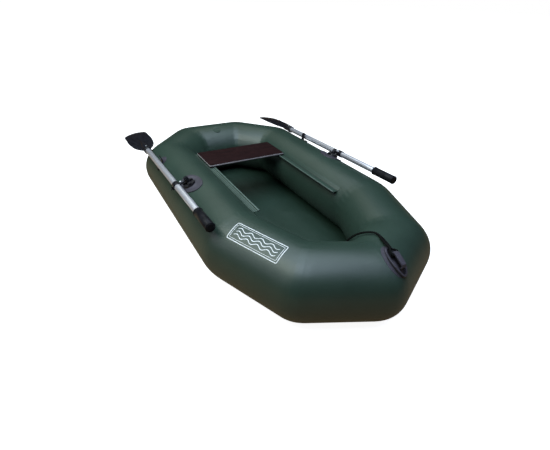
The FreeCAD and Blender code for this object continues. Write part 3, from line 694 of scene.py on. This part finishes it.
def insideDistance(place, plan):
    # how far a place lies inside the plan's sides
    gap = 1.0
    for a, b in zip(plan, plan[1:] + plan[:1]):
        along = (b - a).normalized()
        inward = upward.cross(along)
        gap = min(gap, (place - a).dot(inward))
    return gap


def makeFloor():
    plan = hullPlan()
    across, length = 1.1, 1.9
    bm = bmesh.new()
    bmesh.ops.create_grid(bm, x_segments=int(length / floorSheet["cells"]),
                          y_segments=int(across / floorSheet["cells"]), size=1,
                          matrix=Matrix.Diagonal((length / 2, across / 2, 1, 1)))
    for a, b in zip(plan, plan[1:] + plan[:1]):
        along = (b - a).normalized()
        outward = along.cross(upward)
        edge = Vector((a.x, a.y, 0)) + outward * floorSheet["lap"]
        bmesh.ops.bisect_plane(bm, geom=bm.verts[:] + bm.edges[:] + bm.faces[:], plane_co=edge,
                               plane_no=outward, clear_outer=True)
    area = sum(face.calc_area() for face in bm.faces)
    cut = (2 * max(v.co.y for v in bm.verts),
           max(v.co.x for v in bm.verts) - min(v.co.x for v in bm.verts))
    for v in bm.verts:
        gap = insideDistance(Vector((v.co.x, v.co.y, hull["axisHeight"])), plan)
        fade = max(0.0, min(1.0, gap / floorSheet["fadeIn"]))
        fade = fade * fade * (3 - 2 * fade)
        clear = (v.co.xy - Vector(painter["coilCentre"])).length - floorSheet["flatRound"]
        fade *= max(0.0, min(1.0, clear / floorSheet["fadeIn"]))
        ripple = noise.fractal(Vector((v.co.x * 5.0, v.co.y * 9.0, 1.7)), 0.8, 2.1, 3)
        crease = 1 - abs(noise.noise(Vector((v.co.x * 3.0, v.co.y * 7.0, 4.2))))
        lift = max(0.0, 0.35 + 0.5 * ripple + 0.45 * crease ** 6)
        v.co.z = floorSheet["top"] + fade * floorSheet["wrinkle"] * min(1.0, lift)
    bmesh.ops.solidify(bm, geom=bm.faces[:], thickness=floorSheet["thickness"])
    sheet = finishPiece("floorSheet", bm, [floorCloth], "hull")
    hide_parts("floor_panel")
    return sheet, cut, area


floorCloths, floorCut, floorArea = makeFloor()
print("floor cut", floorCut, "area", round(floorArea, 3))
print("floor made")

# Seat board

seat = {"corner": 0.006, "edge": 0.0009}


def makeSeat():
    low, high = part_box("seat_board")
    size, middle = high - low, (high + low) / 2
    bm = bmesh.new()
    bmesh.ops.create_cube(bm, size=1, matrix=Matrix.Translation(middle) @ Matrix.Diagonal((*size, 1)))
    posts = [e for e in bm.edges if abs((e.verts[0].co - e.verts[1].co).z) > size.z / 2]
    bmesh.ops.bevel(bm, geom=posts, offset=seat["corner"], segments=5, affect="EDGES", profile=0.5,
                    material=-1)
    rims = [e for e in bm.edges if len(e.link_faces) == 2 and abs(e.calc_face_angle()) > 1.0]
    bmesh.ops.bevel(bm, geom=rims, offset=seat["edge"], segments=2, affect="EDGES", profile=0.5,
                    material=-1)
    bm.normal_update()
    for face in bm.faces:
        face.material_index = 0 if abs(face.normal.z) > 0.9 else 1
    board = finishPiece("seatBoard", bm, [boardFilm, boardEdge], "seat", sharpAngle=30)
    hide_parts("seat_board")


makeSeat()
print("seat made")

# Generic mark on the bow: a white double outline with waves, printed on the tube

mark = {
    "from": (0.347, -0.344),
    "to": (0.653, -0.226),
    "share": 0.49,
    "lean": 25.0,
    "length": 0.238,
    "height": 0.078,
    "line": 0.0034,
    "gap": 0.0085,
    "corner": 0.007,
    "waves": 3,
    "waveHeight": 0.0055,
    "lift": 0.0002,
    "thickness": 0.0003,
}


def outlineRing(bm, length, height, corner, line):
    # a rounded rectangle's outline: a circle drawn apart, inset, with its middle taken out
    count = 32
    verts = bmesh.ops.create_circle(bm, cap_ends=True, segments=count, radius=corner,
                                    matrix=Matrix.Rotation(math.pi / count, 4, "Z"))["verts"]
    for v in verts:
        v.co.x += math.copysign(length / 2 - corner, v.co.x)
        v.co.y += math.copysign(height / 2 - corner, v.co.y)
    face = max(verts[0].link_faces, key=lambda f: len(f.verts))
    bmesh.ops.inset_region(bm, faces=[face], thickness=line, use_boundary=True, use_even_offset=True)
    bmesh.ops.delete(bm, geom=[face], context="FACES_ONLY")


def makeMark():
    bm = bmesh.new()
    length, height = mark["length"], mark["height"]
    outlineRing(bm, length, height, mark["corner"], mark["line"])
    inner = mark["gap"]
    outlineRing(bm, length - 2 * inner, height - 2 * inner, mark["corner"] - inner / 3, mark["line"] / 2)
    waveLength = length - 5 * inner
    for row in range(mark["waves"]):
        offset = (row - (mark["waves"] - 1) / 2) * mark["waveHeight"] * 2.6
        strip = bmesh.ops.create_grid(bm, x_segments=60, y_segments=1, size=1,
                                      matrix=Matrix.Diagonal((waveLength / 2, mark["line"] / 2, 1, 1)))
        for v in strip["verts"]:
            v.co.y += offset + mark["waveHeight"] * math.sin(v.co.x / waveLength * 8 * math.pi)
    cuts = 16
    for cut in range(1, cuts):
        bmesh.ops.bisect_plane(bm, geom=bm.verts[:] + bm.edges[:] + bm.faces[:],
                               plane_co=(0, height * (cut / cuts - 0.5), 0), plane_no=(0, 1, 0))
    start = Vector((*mark["from"], hull["axisHeight"]))
    finish = Vector((*mark["to"], hull["axisHeight"]))
    along = (finish - start).normalized()
    outboard = along.cross(upward)
    centre = start.lerp(finish, mark["share"])
    for v in bm.verts:
        lean = math.radians(mark["lean"]) - v.co.y / hull["radius"]
        radial = upward * math.cos(lean) + outboard * math.sin(lean)
        v.co = centre + along * v.co.x + radial * (hull["radius"] + mark["lift"])
    bmesh.ops.recalc_face_normals(bm, faces=bm.faces)
    bmesh.ops.solidify(bm, geom=bm.faces[:], thickness=mark["thickness"])
    finishPiece("bowMark", bm, [printWhite], "hull")


makeMark()
print("mark made")

# Small fittings: rivets of the blade sockets, sleeves on the studs, screws on the rockers

lockOrigin = Matrix.Translation((-0.018, 0.40528, 0.27841)) @ Matrix.Rotation(math.radians(-25), 4, "X")
oarOrigin = (Matrix.Translation((-0.018, 0.46445, 0.28227)) @ Matrix.Rotation(math.radians(-0.4), 4, "Z")
             @ Matrix.Rotation(math.radians(-1.7), 4, "Y"))
fittings = {
    # name: body, frame, place, lean about X in degrees, radius, length, material, slot
    "rivet": ("oar", oarOrigin, (-0.555, 0.0, 0.0179), 0, 0.0038, 0.0018, brightSteel, "bright_steel"),
    "sleeve": ("oar", lockOrigin, (0.0, 0.0222, 0.0285), 90, 0.0066, 0.021, blackRubber, "black_rubber"),
    "clampScrew": ("oar", lockOrigin, (0.0, 0.0280, 0.0368), 0, 0.0046, 0.0044, brightSteel, "bright_steel"),
}
rings = {
    # name: place along the oar, inner and outer radius, length, material
    "socketRim": (-0.529, 0.0143, 0.0205, 0.024, blackPlastic),
    "gripCuff": (0.2755, 0.0148, 0.0206, 0.008, glossyBlack),
    "gripSleeve": (0.339, 0.0172, 0.0194, 0.127, glossyBlack),
    "gripCap": (0.4022, 0.0150, 0.0203, 0.007, glossyBlack),
    "gripRim": (0.4056, 0.0118, 0.0152, 0.003, glossyBlack),
}
patches = {
    # name: centre, half length and half width, along the surface, thickness
    "eyePatch": ((0.8278, 0.025, 0.2760), (0.0620, 0.0400), (0.866, 0, -0.5), (0.5, 0, 0.866), 0.0016),
    "clipPatchPort": ((-0.378, 0.4350, 0.265), (0.0330, 0.0250), (1, 0, 0), (0, 0.62, 0.78), 0.0014),
    "clipPatchStarboard": ((-0.378, -0.4350, 0.265), (0.0330, 0.0250), (1, 0, 0), (0, -0.62, 0.78), 0.0014),
}


def makeFittings():
    for name, (body, origin, place, lean, radius, length, material, slot) in fittings.items():
        for side, mirror in (("port", 1), ("starboard", -1)):
            bm = bmesh.new()
            bmesh.ops.create_cone(bm, cap_ends=True, segments=32, radius1=radius, radius2=radius,
                                  depth=length)
            rims = [e for e in bm.edges if abs(e.calc_face_angle()) > 1.0]
            bmesh.ops.bevel(bm, geom=rims, offset=length * 0.22, segments=3, affect="EDGES",
                            profile=0.5, material=-1)
            turn = Matrix.Rotation(math.radians(lean), 4, "X")
            stand = Matrix.Diagonal((1, mirror, 1, 1)) @ origin @ Matrix.Translation(place) @ turn
            bmesh.ops.transform(bm, matrix=stand, verts=bm.verts)
            finishPiece(name + side.title(), bm, [material], body + "_" + side, sharpAngle=40)


def makeRings():
    quarter = Matrix.Rotation(math.pi / 2, 4, "Y")
    for name, (place, inner, outer, length, material) in rings.items():
        half, soft = length / 2, min(length, outer - inner) * 0.3
        outline = [(-half, inner), (-half, outer - soft), (soft - half, outer), (half - soft, outer),
                   (half, outer - soft), (half, inner)]
        for side, mirror in (("port", 1), ("starboard", -1)):
            stand = Matrix.Diagonal((1, mirror, 1, 1)) @ oarOrigin @ Matrix.Translation((place, 0, 0)) @ quarter
            sections = [stand @ Matrix.Translation((0, 0, along)) @ Matrix.Diagonal((radius, radius, 1, 1))
                        for along, radius in outline]
            bm = bmesh.new()
            sweepRings(bm, sections, 40, closed=True)
            finishPiece(name + side.title(), bm, [material], "oar_" + side, sharpAngle=50)


def makePatches():
    # thin oval patches laid on the hull's skin
    skin = BVHTree.FromObject(hullSkin, bpy.context.evaluated_depsgraph_get())
    for name, (centre, halves, ahead, outward, thickness) in patches.items():
        ahead, outward = Vector(ahead), Vector(outward).normalized()
        across = outward.cross(ahead).normalized()
        bm = bmesh.new()
        bmesh.ops.create_grid(bm, x_segments=22, y_segments=22, size=1)
        for v in bm.verts:
            u = v.co.x * math.sqrt(1 - v.co.y ** 2 / 2) * halves[0]
            w = v.co.y * math.sqrt(1 - v.co.x ** 2 / 2) * halves[1]
            start = Vector(centre) + ahead * u + across * w + outward * 0.1
            v.co = skin.ray_cast(start, -outward)[0] - outward * 0.0003
        bmesh.ops.solidify(bm, geom=bm.faces[:], thickness=-thickness)
        bmesh.ops.recalc_face_normals(bm, faces=bm.faces)
        finishPiece(name, bm, [rubberPatch], "hull", sharpAngle=50)


makeFittings()
makeRings()
makePatches()
print("fittings made")

# CAD nodes that stay: softened edges and their finishes

finishes = {
    "seat_track": (trackVinyl, 0.0006),
    "seat_shoe": (blackPlastic, 0.0004),
    "oarlock_pad": (rubberPatch, 0.0012),
    "oarlock_rocker": (blackPlastic, 0.0008),
    "oarlock_swivel": (blackPlastic, 0.001),
    "oarlock_stud": (studMetal, 0.0005),
    "oar_collar": (blackPlastic, 0.0008),
    "oar_shaft": (shaftMetal, 0.0005),
    "oar_grip": (glossyBlack, 0.0004),
    "oar_blade": (blackPlastic, 0.0006),
    "oar_clip": (blackPlastic, 0.0012),
    "towing_eye": (rubberPatch, 0.0012),
    "air_valve": (valvePlastic, 0.001),
}


def dressNodes():
    for name, obj in nodes.items():
        for start, (material, width) in finishes.items():
            if not name.startswith(start):
                continue
            obj.data.materials.clear()
            obj.data.materials.append(material)
            weld = obj.modifiers.new("weld", "WELD")
            weld.merge_threshold = 0.00001
            bevel = obj.modifiers.new("bevel", "BEVEL")
            bevel.width, bevel.segments = width, 2
            bevel.limit_method, bevel.angle_limit = "ANGLE", math.radians(38)
            bevel.harden_normals = False


dressNodes()
print("nodes dressed")

# Stage: floor, lights and world

stage = {
    "floorSize": 60.0,
    "floorSeen": (0.9, 0.9, 0.9),
    "floorBounce": (0.2, 0.17, 0.12),
    "glowNear": 0.93,
    "glowFar": 1.05,
    "glossyColour": (0.14, 0.09, 0.04),
    "world": 0.012,
}


def cameraRays(tree):
    # 1 where the camera, or glass in front of it, sees the background
    path = addNode(tree, "ShaderNodeLightPath")
    seen = addNode(tree, "ShaderNodeMath", {"operation": "MAXIMUM"})
    wire(tree, path, "Is Camera Ray", seen, 0)
    wire(tree, path, "Is Transmission Ray", seen, 1)
    return path, seen


def mixColours(tree, factor, output, low, high):
    mix = addNode(tree, "ShaderNodeMix", {"data_type": "RGBA"})
    mix.inputs["A"].default_value = (*low, 1)
    mix.inputs["B"].default_value = (*high, 1)
    wire(tree, factor, output, mix, "Factor")
    return mix


def makeStage():
    bm = bmesh.new()
    bmesh.ops.create_grid(bm, x_segments=1, y_segments=1, size=stage["floorSize"])
    mesh = bpy.data.meshes.new("ground")
    bm.to_mesh(mesh)
    bm.free()
    ground = bpy.data.objects.new("ground", mesh)
    scene.collection.objects.link(ground)
    material = bpy.data.materials.new("ground")
    material.use_nodes = True
    tree = material.node_tree
    tree.nodes.clear()
    path, seen = cameraRays(tree)
    tint = mixColours(tree, seen, 0, stage["floorBounce"], stage["floorSeen"])
    matt = addNode(tree, "ShaderNodeBsdfDiffuse")
    tree.links.new(tint.outputs["Result"], matt.inputs["Color"])
    # the camera sees a white glow that fills towards the distance, gloss sees a dim warm one
    place = addNode(tree, "ShaderNodeTexCoord")
    far = addNode(tree, "ShaderNodeVectorMath", {"operation": "LENGTH"})
    wire(tree, place, "Object", far, 0)
    level = addNode(tree, "ShaderNodeMapRange", values={"From Min": 1.2, "From Max": 3.5,
                                                        "To Min": stage["glowNear"], "To Max": stage["glowFar"]})
    wire(tree, far, "Value", level, "Value")
    white = addNode(tree, "ShaderNodeMath", {"operation": "MULTIPLY"})
    wire(tree, level, "Result", white, 0)
    wire(tree, seen, 0, white, 1)
    strength = addNode(tree, "ShaderNodeMath", {"operation": "ADD"})
    wire(tree, white, 0, strength, 0)
    wire(tree, path, "Is Glossy Ray", strength, 1)
    colour = mixColours(tree, seen, 0, stage["glossyColour"], (1, 1, 1))
    glow = addNode(tree, "ShaderNodeEmission")
    tree.links.new(colour.outputs["Result"], glow.inputs["Color"])
    wire(tree, strength, 0, glow, "Strength")
    both = addNode(tree, "ShaderNodeAddShader")
    wire(tree, matt, 0, both, 0)
    wire(tree, glow, 0, both, 1)
    out = addNode(tree, "ShaderNodeOutputMaterial")
    wire(tree, both, 0, out, "Surface")
    mesh.materials.append(material)

    world = bpy.data.worlds.new("room")
    world.use_nodes = True
    tree = world.node_tree
    back = tree.nodes["Background"]
    seen = cameraRays(tree)[1]
    colour = mixColours(tree, seen, 0, (0.86, 0.93, 1.0), (1, 1, 1))
    tree.links.new(colour.outputs["Result"], back.inputs["Color"])
    level = addNode(tree, "ShaderNodeMapRange", values={"To Min": stage["world"], "To Max": 1.0})
    wire(tree, seen, 0, level, "Value")
    wire(tree, level, "Result", back, "Strength")
    scene.world = world


lamps = {
    # name: place, aimed at, width, height, watts, colour
    "ceiling": ((0.0, 0.0, 3.0), (0, 0, 0), 2.6, 2.6, 68.0, (0.72, 0.86, 1.0)),
    "front": ((1.5, -0.7, 3.1), (0.2, 0, 0.15), 2.0, 1.4, 33.0, (0.68, 0.8, 1.0)),
    "starboard": ((-0.2, -1.7, 2.4), (0.0, 0.25, 0.15), 2.0, 1.2, 36.0, (0.9, 1.0, 0.93)),
    "starboardLow": ((-0.3, -2.4, 1.3), (0.0, 0.1, 0.15), 2.0, 1.0, 6.5, (0.9, 0.87, 1.0)),
    "portBow": ((1.8, 1.4, 2.4), (0.2, 0, 0.15), 1.6, 1.2, 6.5, (0.6, 0.6, 1.0)),
    "stern": ((-2.0, 0.0, 2.4), (0.0, 0, 0.15), 2.0, 1.4, 7.5, (0.95, 1.0, 0.85)),
}


def addLamps():
    for name, (place, target, width, height, watts, colour) in lamps.items():
        data = bpy.data.lights.new(name, "AREA")
        data.shape, data.size, data.size_y = "RECTANGLE", width, height
        data.energy, data.color = watts, colour
        obj = bpy.data.objects.new(name, data)
        aim = Vector(target) - Vector(place)
        obj.matrix_world = Matrix.Translation(place) @ aim.to_track_quat("-Z", "Y").to_matrix().to_4x4()
        scene.collection.objects.link(obj)


makeStage()
addLamps()
scene.view_settings.view_transform = "Standard"
print("stage set")

bpy.context.view_layer.update()
